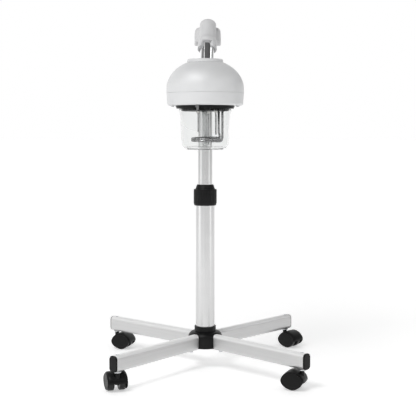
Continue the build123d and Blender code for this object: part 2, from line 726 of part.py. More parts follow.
with BuildPart() as circuit_board:
    with Locations((*BOARD, LID_TOP + 0.1)):
        Box(*BOARD_SIZE, align=UP)
    for along, tall in CHIP_HEIGHTS.items():
        with Locations((BOARD[0] + along, chip_y, CHIP_Z)):
            Box(CHIP_WIDTH, CHIP_DEPTH, tall, align=UP)
save(circuit_board, "circuit_board")

# ------------------------------------------------------------------ controls and inlet
PANEL_START = 50.0
PANEL_SWEEP = 80.0
PANEL_LOW = 701.0
PANEL_HIGH = 720.0
PANEL_THICK = 1.4
LAMP_ANGLES = (85.0, 95.0)
LENS_R = 2.6
LENS_Z = 713.5
panel_section = [
    (pan_radius(PANEL_LOW) + FIT, PANEL_LOW),
    (pan_radius(PANEL_LOW) + PANEL_THICK, PANEL_LOW),
    (pan_radius(PANEL_HIGH) + PANEL_THICK, PANEL_HIGH),
    (pan_radius(PANEL_HIGH) + FIT, PANEL_HIGH),
]
panel_start_way = (cos(radians(PANEL_START)), sin(radians(PANEL_START)), 0)
panel_plane = Plane(
    origin=(*DOME, 0), x_dir=panel_start_way, z_dir=(panel_start_way[1], -panel_start_way[0], 0)
)

with BuildPart() as control_panel:
    revolve(outline(panel_section, panel_plane), axis=upright_axis(DOME), revolution_arc=PANEL_SWEEP)
    for angle in SWITCH_ANGLES.values():
        with BuildSketch(radial_plane(CUT_FROM, angle, SWITCH_Z, DOME)):
            Rectangle(SWITCH_WIDTH + GAP, SWITCH_HEIGHT + GAP)
        extrude(amount=CUT_DEPTH, mode=Mode.SUBTRACT)
    for angle in LAMP_ANGLES:
        with BuildSketch(radial_plane(CUT_FROM, angle, LENS_Z, DOME)):
            Circle(LENS_R + 2 * FIT)
        extrude(amount=CUT_DEPTH, mode=Mode.SUBTRACT)
save(control_panel, "control_panel")

LENS_LENGTH = 1.6
lens_base = pan_radius(LENS_Z) + 0.35

with BuildPart() as indicator_lamps:
    for angle in LAMP_ANGLES:
        with BuildSketch(radial_plane(lens_base, angle, LENS_Z, DOME)):
            Circle(LENS_R)
        extrude(amount=LENS_LENGTH)
        with BuildSketch(radial_plane(lens_base + LENS_LENGTH, angle, LENS_Z, DOME)):
            Circle(LENS_R)
        extrude(amount=1, taper=35)
save(indicator_lamps, "indicator_lamps")

BEZEL_FACE = 102.2
BEZEL_LIP = 1.4
BEZEL_MARGIN = 1.6
SWITCH_DEPTH = 17.0
WELL_WIDTH = 15.8
WELL_HEIGHT = 9.8
WELL_DEPTH = 9.0
BEZEL_CORNER = 1.5
ROCKER_TILT = 6.0
ROCKER_PIVOT = BEZEL_FACE - 3.5

with BuildPart() as switch_housings:
    for angle in SWITCH_ANGLES.values():
        with BuildSketch(radial_plane(BEZEL_FACE - SWITCH_DEPTH, angle, SWITCH_Z, DOME)):
            Rectangle(SWITCH_WIDTH, SWITCH_HEIGHT)
        extrude(amount=SWITCH_DEPTH)
        with BuildSketch(radial_plane(BEZEL_FACE - BEZEL_LIP, angle, SWITCH_Z, DOME)):
            RectangleRounded(
                SWITCH_WIDTH + 2 * BEZEL_MARGIN, SWITCH_HEIGHT + 2 * BEZEL_MARGIN, BEZEL_CORNER
            )
        extrude(amount=BEZEL_LIP)
        with BuildSketch(radial_plane(BEZEL_FACE - WELL_DEPTH, angle, SWITCH_Z, DOME)):
            Rectangle(WELL_WIDTH, WELL_HEIGHT)
        extrude(amount=WELL_DEPTH + 1, mode=Mode.SUBTRACT)
save(switch_housings, "switch_housings")

# The rocker's section lies across its pivot: a shallow V face, tipped to the off position.
ROCKER_HALF = 7.1
ROCKER_FACE = 4.3
ROCKER_HALF_DEPTH = 3.6
rocker_section = [
    (-ROCKER_HALF, ROCKER_FACE),
    (0, ROCKER_FACE - 1.2),
    (ROCKER_HALF, ROCKER_FACE),
    (ROCKER_HALF - 0.6, 0.8 - ROCKER_HALF_DEPTH),
    (0, -ROCKER_HALF_DEPTH),
    (0.6 - ROCKER_HALF, 0.8 - ROCKER_HALF_DEPTH),
]

for name, angle in SWITCH_ANGLES.items():
    pivot = (*polar(ROCKER_PIVOT, angle, DOME), SWITCH_Z)
    out = Vector(cos(radians(angle)), sin(radians(angle)), 0)
    sideways = Vector(-out.Y, out.X, 0)
    tipped = sideways * cos(radians(ROCKER_TILT)) + out * sin(radians(ROCKER_TILT))
    with BuildPart() as rocker:
        with BuildSketch(Plane(origin=pivot, x_dir=tipped, z_dir=(0, 0, -1))):
            with BuildLine():
                Polyline(*rocker_section, close=True)
            make_face()
        extrude(amount=WELL_HEIGHT / 2 - GAP, both=True)
    save(rocker, f"{name}_rocker")

INLET_FACE = 100.2
INLET_DEPTH = 19.0
INLET_FLANGE = 1.6
INLET_MARGIN = 2.5
CAVITY_WIDTH = 23.0
CAVITY_HEIGHT = 15.6
CAVITY_DEPTH = 15.0
PIN_LENGTH = 12.0
PIN_WIDTH = 2.0
PIN_PLACES = ((-7, 3.5), (7, 3.5), (0, 5))

with BuildPart() as power_inlet:
    with BuildSketch(radial_plane(INLET_FACE - INLET_DEPTH, INLET_ANGLE, INLET_Z, DOME)):
        Rectangle(INLET_WIDTH, INLET_HEIGHT)
    extrude(amount=INLET_DEPTH)
    with BuildSketch(radial_plane(INLET_FACE - 0.2, INLET_ANGLE, INLET_Z, DOME)):
        RectangleRounded(
            INLET_WIDTH + 2 * INLET_MARGIN, INLET_HEIGHT + 1.6 * INLET_MARGIN, INLET_MARGIN
        )
    extrude(amount=INLET_FLANGE)
    with BuildSketch(radial_plane(INLET_FACE - CAVITY_DEPTH, INLET_ANGLE, INLET_Z, DOME)):
        Rectangle(CAVITY_WIDTH, CAVITY_HEIGHT)
    extrude(amount=2 * CAVITY_DEPTH, mode=Mode.SUBTRACT)
    with BuildSketch(radial_plane(INLET_FACE - CAVITY_DEPTH - 1, INLET_ANGLE, INLET_Z, DOME)):
        with Locations(*PIN_PLACES):
            Rectangle(PIN_WIDTH, 2 * PIN_WIDTH)
    extrude(amount=PIN_LENGTH)
save(power_inlet, "power_inlet")

# ------------------------------------------------------------------ jar, gasket and lock ring
JAR_CORNER = 12.0
base_wall_r = 60.2

jar_section_outer = [
    (JAR_NECK_R, JAR_RIM),
    (JAR_NECK_R, JAR_SHOULDER + 0.7),
    (JAR_R - 1.4, JAR_SHOULDER),
    (JAR_R, JAR_SHOULDER - 1.6),
    (JAR_R - 0.5, JAR_SHOULDER - 7),
    (JAR_R - 3.2, JAR_SHOULDER - 16),
    (base_wall_r, JAR_BASE + JAR_CORNER),
]
jar_section_inner = [
    (jar_r - JAR_WALL, jar_z) for jar_r, jar_z in reversed(jar_section_outer[4:])
] + [
    (JAR_R - JAR_WALL - 0.6, JAR_SHOULDER - 3.5),
    (JAR_NECK_R - JAR_WALL, JAR_SHOULDER - 3.0),
    (JAR_NECK_R - JAR_WALL, JAR_RIM),
]
corner_out = (base_wall_r, JAR_BASE + JAR_CORNER)
corner_in = (base_wall_r - JAR_WALL, JAR_BASE + JAR_CORNER)
inner_corner = JAR_CORNER - JAR_WALL
FOOT_R = 46.3
FOOT_WIDTH = 4.0

with BuildPart() as jar:
    with BuildSketch(upright_plane(JAR)):
        with BuildLine():
            Polyline(*jar_section_outer)
            RadiusArc(corner_out, (base_wall_r - JAR_CORNER, JAR_BASE), JAR_CORNER)
            Polyline(
                (base_wall_r - JAR_CORNER, JAR_BASE),
                (FOOT_R, JAR_BASE),
                (FOOT_R, JAR_FOOT),
                (FOOT_R - FOOT_WIDTH, JAR_FOOT),
                (FOOT_R - FOOT_WIDTH, JAR_BASE),
                (0, JAR_BASE),
                (0, JAR_BASE + JAR_WALL),
                (corner_in[0] - inner_corner, JAR_BASE + JAR_WALL),
            )
            RadiusArc((corner_in[0] - inner_corner, JAR_BASE + JAR_WALL), corner_in, -inner_corner)
            Polyline(*jar_section_inner, (JAR_NECK_R, JAR_RIM))
        make_face()
    revolve(axis=upright_axis(JAR))
save(jar, "jar")

with BuildPart() as jar_gasket:
    gasket_section = ring(LID_PLUG_R + FIT, JAR_NECK_R, JAR_RIM + 0.1, PAN_BASE - 0.1)
    revolve(outline(gasket_section, upright_plane(JAR)), axis=upright_axis(JAR))
save(jar_gasket, "jar_gasket")

RING_TOP = 690.0
RING_STEP = 685.0
RING_BASE = 681.6
RING_SKIRT_R = 62.2
ring_section = [
    (JAR_NECK_R + GAP, RING_BASE),
    (RING_SKIRT_R, RING_BASE),
    (RING_SKIRT_R, RING_STEP),
    (RECESS_R - GAP, RING_STEP),
    (RECESS_R - GAP, RING_TOP),
    (JAR_NECK_R + GAP, RING_TOP),
]

with BuildPart() as jar_lock_ring:
    revolve(outline(ring_section, upright_plane(JAR)), axis=upright_axis(JAR))
save(jar_lock_ring, "jar_lock_ring")

# ------------------------------------------------------------------ turret and arm
lean = radians(ARM_LEAN)
turn = radians(ARM_TURN)
ARM_ROOT = (ARM_ROOT_X, DOME[1], ARM_ROOT_Z)
arm_way = (sin(turn) * sin(lean), cos(turn) * sin(lean), cos(lean))
arm_side = (cos(turn), -sin(turn), 0)
arm_plane = Plane(origin=ARM_ROOT, x_dir=arm_side, z_dir=arm_way)
arm_axis = Axis(ARM_ROOT, arm_way)
ARM_START = -10.0
ARM_END = 68.0
CLIP_LOW = 796.2
CLIP_HIGH = 798.4
CLIP_GROOVE_R = 36.0
turret_section = [
    (0, TURRET_BASE),
    (TURRET_NECK_R, TURRET_BASE),
    (TURRET_NECK_R, CLIP_LOW - 0.1),
    (CLIP_GROOVE_R, CLIP_LOW - 0.1),
    (CLIP_GROOVE_R, CLIP_HIGH + 0.1),
    (TURRET_NECK_R, CLIP_HIGH + 0.1),
    (TURRET_NECK_R, TURRET_UNDERSIDE),
    (TURRET_R, TURRET_UNDERSIDE),
    (TURRET_R, TURRET_TOP - 2),
    (TURRET_R - 2, TURRET_TOP),
    (0, TURRET_TOP),
]

with BuildPart() as turret:
    revolve(outline(turret_section, upright_plane(DOME)), axis=upright_axis(DOME))
    with BuildSketch(arm_plane.offset(ARM_START - 0.1)):
        Circle(ARM_R + FIT)
    extrude(amount=ARM_END, mode=Mode.SUBTRACT)
    with Locations((*DOME, TURRET_BASE)):
        Cylinder(STEAM_BORE_R, 2 * STEAM_BORE_R, align=UP, mode=Mode.SUBTRACT)
save(turret, "turret")

with BuildPart() as turret_clip:
    clip_section = ring(CLIP_GROOVE_R + FIT, DOME_HOLE_R + 4, CLIP_LOW, CLIP_HIGH)
    revolve(outline(clip_section, upright_plane(DOME)), axis=upright_axis(DOME))
save(turret_clip, "turret_clip")

with BuildPart() as arm_tube:
    with BuildSketch(arm_plane.offset(ARM_START)):
        Circle(ARM_R)
        Circle(ARM_R - TUBE_WALL, mode=Mode.SUBTRACT)
    extrude(amount=ARM_END - ARM_START)
save(arm_tube, "arm_tube")

# ------------------------------------------------------------------ nozzle
SLEEVE_START = 42.0
SLEEVE_RAISED = 54.0
SLEEVE_END = 71.0
ELBOW_END = 129.5
ELBOW_CROWN = 9.0
ELBOW_WALL = 3.2
BORE_R = ARM_R + 0.1
SEAL_LOW = 60.0
SEAL_HIGH = 63.0
SEAL_R = 20.0
CHAMBER_R = ELBOW_R - ELBOW_WALL
NECK_AT = 99.5
pitch = radians(HOOD_PITCH)
neck_centre = tuple(root + NECK_AT * way for root, way in zip(ARM_ROOT, arm_way))
hood_way = (0, cos(pitch), -sin(pitch))
spout_plane = Plane(origin=neck_centre, x_dir=(-1, 0, 0), z_dir=hood_way)
NECK_R = 15.0
NECK_START = 12.0
HOOD_BACK = 19.0
HOOD_MOUTH = 38.5
NECK_SIZE = (42.0, 38.0)
MOUTH_WIDTH = 70.0
MOUTH_HEIGHT = 46.0
MOUTH_TAPER = 3.0
MOUTH_FLARE = 3.0
UPPER_CORNER = 11.0
LOWER_CORNER = 5.0
HOOD_SHELL = 2.4
arm_section_plane = Plane(origin=ARM_ROOT, x_dir=arm_plane.y_dir, z_dir=arm_side)

with BuildPart() as nozzle_elbow:
    with BuildSketch(arm_plane.offset(SLEEVE_START)):
        Circle(SLEEVE_R)
    extrude(amount=SLEEVE_END - SLEEVE_START)
    with BuildSketch(arm_plane.offset(SLEEVE_END)):
        Circle(ELBOW_R)
    extrude(amount=ELBOW_END - SLEEVE_END)
    fillet(nozzle_elbow.faces().sort_by(arm_axis)[-1].edges(), ELBOW_CROWN)
    with BuildSketch(arm_plane.offset(SLEEVE_START)):
        Circle(BORE_R)
    extrude(amount=SLEEVE_END - SLEEVE_START, mode=Mode.SUBTRACT)
    with BuildSketch(arm_plane.offset(SEAL_LOW)):
        Circle(SEAL_R)
    extrude(amount=SEAL_HIGH - SEAL_LOW, mode=Mode.SUBTRACT)
    with BuildSketch(arm_plane.offset(SLEEVE_END)):
        Circle(CHAMBER_R)
    extrude(amount=ELBOW_END - ELBOW_WALL - SLEEVE_END - ELBOW_CROWN / 2, mode=Mode.SUBTRACT)
    with BuildSketch(spout_plane):
        Circle(NECK_R)
    extrude(amount=ELBOW_R + 10, mode=Mode.SUBTRACT)
    with BuildSketch(arm_section_plane):
        with BuildLine():
            Polyline(
                (0, SLEEVE_START - 2),
                (0, SLEEVE_RAISED - 2),
                (-SLEEVE_R - 1, SLEEVE_RAISED),
                (-SLEEVE_R - 1, SLEEVE_START - 2),
                close=True,
            )
        make_face()
    extrude(amount=SLEEVE_R + 1, both=True, mode=Mode.SUBTRACT)
save(nozzle_elbow, "nozzle_elbow")

with BuildPart() as nozzle_o_ring:
    with BuildSketch(arm_plane.offset(SEAL_LOW + 0.1)):
        Circle(SEAL_R - FIT)
        Circle(BORE_R, mode=Mode.SUBTRACT)
    extrude(amount=SEAL_HIGH - SEAL_LOW - 0.2)
save(nozzle_o_ring, "nozzle_o_ring")


def mouth_section(distance, width, height, inset=0):
    """Section across the spout at a distance from the elbow's axis: narrower and rounder above."""
    low = -height / 2 + inset
    high = height / 2 - inset
    half = width / 2 - inset
    with BuildSketch(spout_plane.offset(distance)) as section:
        with BuildLine():
            Polyline(
                (-half, low),
                (half, low),
                (half - MOUTH_TAPER, high),
                (MOUTH_TAPER - half, high),
                close=True,
            )
        make_face()
        fillet(section.vertices().sort_by(Axis.Y)[-2:], UPPER_CORNER - inset)
        fillet(section.vertices().sort_by(Axis.Y)[:2], LOWER_CORNER - inset)
    return section.sketch


with BuildPart() as nozzle_hood:
    loft([
        mouth_section(NECK_START, *NECK_SIZE),
        mouth_section(HOOD_BACK, MOUTH_WIDTH - MOUTH_FLARE, MOUTH_HEIGHT - MOUTH_FLARE),
        mouth_section(HOOD_MOUTH, MOUTH_WIDTH, MOUTH_HEIGHT),
    ], ruled=True)
    loft([
        mouth_section(NECK_START, *NECK_SIZE, inset=HOOD_SHELL),
        mouth_section(
            HOOD_BACK + HOOD_SHELL,
            MOUTH_WIDTH - MOUTH_FLARE,
            MOUTH_HEIGHT - MOUTH_FLARE,
            inset=HOOD_SHELL,
        ),
        mouth_section(HOOD_MOUTH, MOUTH_WIDTH, MOUTH_HEIGHT, inset=HOOD_SHELL),
    ], ruled=True, mode=Mode.SUBTRACT)
    with BuildSketch(arm_plane.offset(SLEEVE_START)):
        Circle(ELBOW_R + 0.1)
    extrude(amount=2 * ELBOW_END, mode=Mode.SUBTRACT)
    with BuildSketch(arm_plane.offset(SLEEVE_START)):
        Circle(SLEEVE_R + 0.1)
    extrude(amount=SLEEVE_END - SLEEVE_START + 0.1, mode=Mode.SUBTRACT)
save(nozzle_hood, "nozzle_hood")

GRILLE_AT = 28.4
GRILLE_THICK = 2.0
GRILLE_SIZE = (MOUTH_WIDTH - 2.4, MOUTH_HEIGHT - 2.4)  # of the hood around it, outside
SLOTS = 5
SLOT_PITCH = 7.0
SLOT_WIDTH = 3.4

with BuildPart() as nozzle_grille:
    extrude(
        mouth_section(GRILLE_AT, *GRILLE_SIZE, inset=HOOD_SHELL + GAP), amount=GRILLE_THICK
    )
    with BuildSketch(spout_plane.offset(GRILLE_AT)):
        with GridLocations(0, SLOT_PITCH, 1, SLOTS):
            SlotOverall(MOUTH_WIDTH - 8 * HOOD_SHELL, SLOT_WIDTH)
    extrude(amount=GRILLE_THICK, mode=Mode.SUBTRACT)
save(nozzle_grille, "nozzle_grille")
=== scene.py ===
"""Looks of the facial steamer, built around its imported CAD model.

Metres, +Z up. The mast stands at the origin, +Y is the side that the steam comes out of, and the
camera of the photograph looks along +Y at the back of the head.
"""

import math

import bmesh
import bpy
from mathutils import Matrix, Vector


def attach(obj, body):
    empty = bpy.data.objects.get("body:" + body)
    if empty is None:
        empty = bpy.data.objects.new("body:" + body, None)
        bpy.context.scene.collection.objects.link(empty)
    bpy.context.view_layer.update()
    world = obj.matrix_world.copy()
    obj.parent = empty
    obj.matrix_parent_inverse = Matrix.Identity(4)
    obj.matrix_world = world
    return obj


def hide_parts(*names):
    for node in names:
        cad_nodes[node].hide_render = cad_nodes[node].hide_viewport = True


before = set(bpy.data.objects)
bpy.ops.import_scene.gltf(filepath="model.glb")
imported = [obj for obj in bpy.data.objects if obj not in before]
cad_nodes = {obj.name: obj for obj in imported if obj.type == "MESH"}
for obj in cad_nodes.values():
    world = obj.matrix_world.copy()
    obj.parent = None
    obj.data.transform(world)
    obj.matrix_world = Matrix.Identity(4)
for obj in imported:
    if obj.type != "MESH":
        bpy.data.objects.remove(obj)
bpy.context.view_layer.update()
scene = bpy.context.scene

SIDES = {"front_right": 45.8, "front_left": 139.8, "rear_left": 230.8, "rear_right": 314.8}


# ------------------------------------------------------------------ shader nodes


def shade(tree, kind, **inputs):
    """A new shader node. Each input is named with _ for a space, and is a constant or another
    node's output socket."""
    made = tree.nodes.new("ShaderNode" + kind)
    for name, value in inputs.items():
        socket = made.inputs[name.replace("_", " ")]
        if isinstance(value, bpy.types.NodeSocket):
            tree.links.new(value, socket)
        else:
            socket.default_value = value
    return made


def new_material(name):
    """A material, its node tree and its Principled shader."""
    material = bpy.data.materials.new("look_" + name)
    material.use_nodes = True
    tree = material.node_tree
    return material, tree, tree.nodes["Principled BSDF"]


def place(tree, turn=0.0, stretch=(1, 1, 1)):
    """Coordinates fixed to the piece, in metres, turned about Z and then stretched."""
    where = shade(tree, "TexCoord").outputs["Object"]
    turned = shade(tree, "Mapping", Vector=where, Rotation=(0, 0, turn))
    return shade(tree, "Mapping", Vector=turned.outputs["Vector"], Scale=stretch).outputs["Vector"]


def noise(tree, where, size, detail=2.0):
    """Noise with features about size metres across."""
    return shade(tree, "TexNoise", Vector=where, Scale=1 / size, Detail=detail).outputs["Fac"]


def between(tree, factor, low, high, start=0.3, end=0.7):
    """A number that goes from low to high as the factor goes from start to end."""
    mapped = shade(
        tree, "MapRange", Value=factor, From_Min=start, From_Max=end, To_Min=low, To_Max=high
    )
    return mapped.outputs["Result"]


def colours(tree, factor, first, second):
    """A colour between two, by the factor."""
    mixed = shade(tree, "MixRGB", Fac=factor, Color1=(*first, 1), Color2=(*second, 1))
    return mixed.outputs["Color"]


def maths(tree, operation, first, second):
    """Two numbers put together: their sum, product or larger one."""
    made = tree.nodes.new("ShaderNodeMath")
    made.operation = operation
    tree.links.new(first, made.inputs[0])
    tree.links.new(second, made.inputs[1])
    return made.outputs["Value"]


def shader_choice(tree, factor, first, second, end_node):
    """Feeds the material's or the world's end node with one shader, or the other at factor 1."""
    mixed = tree.nodes.new("ShaderNodeMixShader")
    tree.links.new(factor, mixed.inputs[0])
    tree.links.new(first, mixed.inputs[1])
    tree.links.new(second, mixed.inputs[2])
    tree.links.new(mixed.outputs["Shader"], tree.nodes[end_node].inputs["Surface"])


def relief(tree, height, depth, under=None):
    """A bump of that depth in metres, on top of another one where there is one."""
    bump = shade(tree, "Bump", Height=height, Strength=1.0, Distance=depth)
    if under is not None:
        tree.links.new(under, bump.inputs["Normal"])
    return bump.outputs["Normal"]


def worn(tree, radius):
    """1 along the edges and 0 on the flats: how far a rounded normal turns from the true one."""
    rounded = shade(tree, "Bevel", Radius=radius)
    true = shade(tree, "NewGeometry")
    dot = tree.nodes.new("ShaderNodeVectorMath")
    dot.operation = "DOT_PRODUCT"
    tree.links.new(rounded.outputs["Normal"], dot.inputs[0])
    tree.links.new(true.outputs["Normal"], dot.inputs[1])
    return between(tree, dot.outputs["Value"], 1.0, 0.0, start=0.75, end=0.985)


def link(tree, **sockets):
    """Feeds sockets of the Principled shader from other nodes."""
    shader = tree.nodes["Principled BSDF"]
    for name, output in sockets.items():
        tree.links.new(output, shader.inputs[name.replace("_", " ")])


def settle(shader, **values):
    """Sets constants on the Principled shader's own sockets."""
    for name, value in values.items():
        shader.inputs[name.replace("_", " ")].default_value = value


# ------------------------------------------------------------------ materials


def moulded_plastic(name, light, dark, gloss, grain, depth):
    """Injection-moulded plastic: slight cloudiness, orange peel and a fine moulded grain."""
    material, tree, shader = new_material(name)
    where = place(tree)
    cloud = noise(tree, where, 0.035, 3.0)
    fine = noise(tree, where, grain, 2.0)
    peel = relief(tree, noise(tree, where, 0.006), 0.00002)
    link(
        tree,
        Base_Color=colours(tree, between(tree, cloud, 0, 1), light, dark),
        Roughness=between(tree, noise(tree, where, 0.018, 4.0), gloss - 0.04, gloss + 0.05),
        Normal=relief(tree, fine, depth, peel),
    )
    settle(shader, IOR=1.5)
    return material, tree, shader


def silver_plastic():
    """Satin silver-grey shell of the head, with a thin clear coat over faint metal flake."""
    material, _, shader = moulded_plastic(
        "silver_plastic", (0.70, 0.705, 0.71), (0.67, 0.675, 0.68), 0.52, 0.0006, 0.000004
    )
    settle(shader, Coat_Weight=0.1, Coat_Roughness=0.5, Metallic=0.12)
    return material


def nozzle_plastic():
    """The nozzle's slightly darker satin shell."""
    material, _, shader = moulded_plastic(
        "nozzle_plastic", (0.60, 0.60, 0.605), (0.57, 0.57, 0.575), 0.5, 0.0006, 0.000004
    )
    settle(shader, Coat_Weight=0.15, Coat_Roughness=0.3)
    return material


def black_plastic():
    """Black plastic with a spark-eroded grain that has rubbed paler at its edges."""
    material, tree, shader = moulded_plastic(
        "black_plastic", (0.003, 0.003, 0.0032), (0.006, 0.006, 0.0062), 0.42, 0.0008, 0.00002
    )
    settle(shader, Specular_IOR_Level=0.22)
    where = place(tree)
    patches = between(tree, noise(tree, where, 0.004, 3.0), 0.0, 1.0, start=0.45, end=0.65)
    rub = maths(tree, "MULTIPLY", worn(tree, 0.0009), patches)
    base = shader.inputs["Base Color"].links[0].from_socket
    worn_colour = shade(tree, "MixRGB", Fac=rub, Color1=base, Color2=(0.02, 0.02, 0.021, 1))
    link(tree, Base_Color=worn_colour.outputs["Color"])
    return material


def black_gloss():
    """Polished black plastic of the panel and the switches."""
    return moulded_plastic(
        "black_gloss", (0.012, 0.012, 0.013), (0.018, 0.018, 0.019), 0.16, 0.0012, 0.000002
    )[0]


# Pale colour for up-facing tops: painted light that makes the tops read brighter than the sides.
PAINTED_TOP_COLOUR = (0.93, 0.93, 0.93, 1)


def aluminium(name, turn=0.0, along=2, metal=1.0, light=0.70, matt=0.28, painted_top_light=0.0):
    """Satin-anodised extrusion: fine drawn lines along its length, and painted light where it faces up:
    the tops paler and less metallic, so they read lit.
    """
    material, tree, _ = new_material("aluminium_" + name)
    line = [1.0, 1.0, 1.0]
    line[along] = 0.012
    drawn = place(tree, turn, line)
    where = place(tree, turn)
    lines = noise(tree, drawn, 0.0006, 2.0)
    streaks = noise(tree, drawn, 0.003, 2.0)
    facing = shade(tree, "SeparateXYZ", Vector=shade(tree, "TexCoord").outputs["Normal"])
    # Painted light: up-facing faces blend towards the pale colour and lose their metal.
    painted_top_mask = between(tree, facing.outputs["Z"], 0.0, painted_top_light, start=0.0, end=0.5)
    bare = colours(tree, between(tree, streaks, 0, 1), (light,) * 3, (light + 0.03,) * 3)
    link(
        tree,
        Base_Color=shade(tree, "MixRGB", Fac=painted_top_mask, Color1=bare, Color2=PAINTED_TOP_COLOUR).outputs["Color"],
        Metallic=between(tree, painted_top_mask, metal, 0.0, start=0.0, end=1.0),
        Roughness=between(tree, noise(tree, where, 0.03, 4.0), matt, matt + 0.05),
        Normal=relief(tree, lines, 0.000004),
    )
    return material


def chrome():
    """Bright plating with a faint smudge here and there."""
    material, tree, shader = new_material("chrome")
    where = place(tree)
    smudge = noise(tree, where, 0.012, 4.0)
    link(
        tree,
        Base_Color=colours(tree, between(tree, smudge, 0, 1), (0.86, 0.865, 0.87), (0.90, 0.905, 0.91)),
        Roughness=between(tree, smudge, 0.05, 0.11),
        Normal=relief(tree, noise(tree, where, 0.004), 0.00001),
    )
    settle(shader, Metallic=1.0)
    return material


def steel():
    """Zinc-plated steel: small crystals of slightly different tone."""
    material, tree, shader = new_material("steel")
    where = place(tree)
    crystals = shade(tree, "TexVoronoi", Vector=where, Scale=900.0).outputs["Distance"]
    link(
        tree,
        Base_Color=colours(tree, crystals, (0.55, 0.56, 0.58), (0.66, 0.67, 0.68)),
        Roughness=between(tree, noise(tree, where, 0.003, 3.0), 0.22, 0.38),
        Normal=relief(tree, crystals, 0.000006),
    )
    settle(shader, Metallic=1.0)
    return material


def heater_steel():
    """Stainless tube browned and dulled by heat and lime."""
    material, tree, shader = new_material("heater_steel")
    where = place(tree)
    scale = noise(tree, where, 0.005, 4.0)
    link(
        tree,
        Base_Color=colours(tree, between(tree, scale, 0, 1), (0.20, 0.20, 0.205), (0.31, 0.31, 0.31)),
        Roughness=between(tree, scale, 0.16, 0.34),
        Normal=relief(tree, scale, 0.00003),
    )
    settle(shader, Metallic=1.0)
    return material


def clear_jar():
    """Clear moulded jar with faint flow marks. Lamps shine through it."""
    material, tree, shader = new_material("clear_jar")
    where = place(tree)
    flow = noise(tree, place(tree, stretch=(1, 1, 0.35)), 0.02, 2.0)
    link(
        tree,
        Base_Color=colours(tree, between(tree, flow, 0, 1), (0.90, 0.907, 0.905), (0.92, 0.925, 0.923)),
        Roughness=between(tree, noise(tree, where, 0.01, 3.0), 0.0, 0.03),
        Normal=relief(tree, flow, 0.00005),
    )
    settle(shader, Transmission_Weight=1.0, IOR=1.17)
    clear = shade(tree, "BsdfTransparent", Color=(0.93, 0.945, 0.94, 1))
    shadow = shade(tree, "LightPath").outputs["Is Shadow Ray"]
    shader_choice(tree, shadow, shader.outputs["BSDF"], clear.outputs["BSDF"], "Material Output")
    return material


def rubber():
    """Soft matt black rubber with a bloom of dust."""
    return moulded_plastic(
        "rubber", (0.02, 0.02, 0.02), (0.035, 0.035, 0.034), 0.7, 0.0005, 0.00002
    )[0]


def silicone():
    """Milky silicone that light seeps into."""
    material, _, shader = moulded_plastic(
        "silicone", (0.80, 0.80, 0.78), (0.74, 0.74, 0.71), 0.5, 0.0008, 0.000004
    )
    settle(shader, Subsurface_Weight=0.3, Subsurface_Scale=0.003)
    return material


def wheel_plastic():
    """Hard black tread with dust in its grain."""
    material, _, shader = moulded_plastic(
        "wheel", (0.007, 0.007, 0.0075), (0.013, 0.013, 0.0125), 0.36, 0.001, 0.00003
    )
    settle(shader, Specular_IOR_Level=0.35)
    return material


def white_plastic():
    """White sealing collars, a little yellowed."""
    return moulded_plastic(
        "white_plastic", (0.86, 0.86, 0.84), (0.82, 0.81, 0.77), 0.45, 0.0006, 0.000004
    )[0]


def quartz():
    """Fused-quartz lamp envelope, lightly hazed."""
    material, tree, shader = new_material("quartz")
    haze = noise(tree, place(tree), 0.006, 3.0)
    link(
        tree,
        Base_Color=colours(tree, haze, (0.92, 0.94, 0.97), (0.97, 0.98, 1.0)),
        Roughness=between(tree, haze, 0.05, 0.2),
    )
    settle(shader, Transmission_Weight=0.9, IOR=1.46)
    return material


def board():
    """Green solder mask with paler copper tracks below it."""
    material, tree, _ = new_material("board")
    where = place(tree)
    tracks = shade(tree, "TexBrick", Vector=where, Scale=160.0, Mortar_Size=0.03)
    link(
        tree,
        Base_Color=colours(tree, tracks.outputs["Fac"], (0.02, 0.10, 0.04), (0.05, 0.20, 0.08)),
        Roughness=between(tree, noise(tree, where, 0.004), 0.25, 0.4),
        Normal=relief(tree, tracks.outputs["Fac"], 0.00003),
    )
    return material


def lens():
    """Red translucent lamp lenses, ribbed inside."""
    material, tree, shader = new_material("lens")
    where = place(tree)
    ribs = shade(tree, "TexWave", Vector=where, Scale=350.0, Distortion=0.0)
    link(
        tree,
        Base_Color=colours(tree, ribs.outputs["Fac"], (0.55, 0.03, 0.02), (0.75, 0.07, 0.04)),
        Roughness=between(tree, noise(tree, where, 0.002), 0.12, 0.22),
        Normal=relief(tree, ribs.outputs["Fac"], 0.00005),
    )
    settle(shader, Transmission_Weight=0.35, IOR=1.5)
    return material


def dress(looks):
    """Gives each CAD node its own look, or else the look of its material slot."""
    for node, piece in cad_nodes.items():
        slot_name = piece.data.materials[0].name
        piece.data.materials[0] = looks.get(node) or looks[slot_name]


LOOKS = {
    "silver_plastic": silver_plastic(),
    "nozzle_plastic": nozzle_plastic(),
    "black_plastic": black_plastic(),
    "black_gloss": black_gloss(),
    "aluminium": aluminium("mast", light=0.64, matt=0.22),
    "chrome": chrome(),
    "steel": steel(),
    "heater_steel": heater_steel(),
    "clear_jar": clear_jar(),
    "rubber": rubber(),
    "silicone": silicone(),
    "wheel_plastic": wheel_plastic(),
    "white_plastic": white_plastic(),
    "quartz": quartz(),
    "board": board(),
    "lens": lens(),
}
LOOKS["water_probes"] = LOOKS["heater_steel"]
LOOKS["relief_valve"] = LOOKS["heater_steel"]
# Legs: painted light at full strength on their up-facing tops.
for side, angle in SIDES.items():
    LOOKS["leg_" + side] = aluminium(
        side, -math.radians(angle), 0, metal=0.6, light=0.62, matt=0.32, painted_top_light=1.0
    )
dress(LOOKS)


# ------------------------------------------------------------------ pieces that CAD only outlines


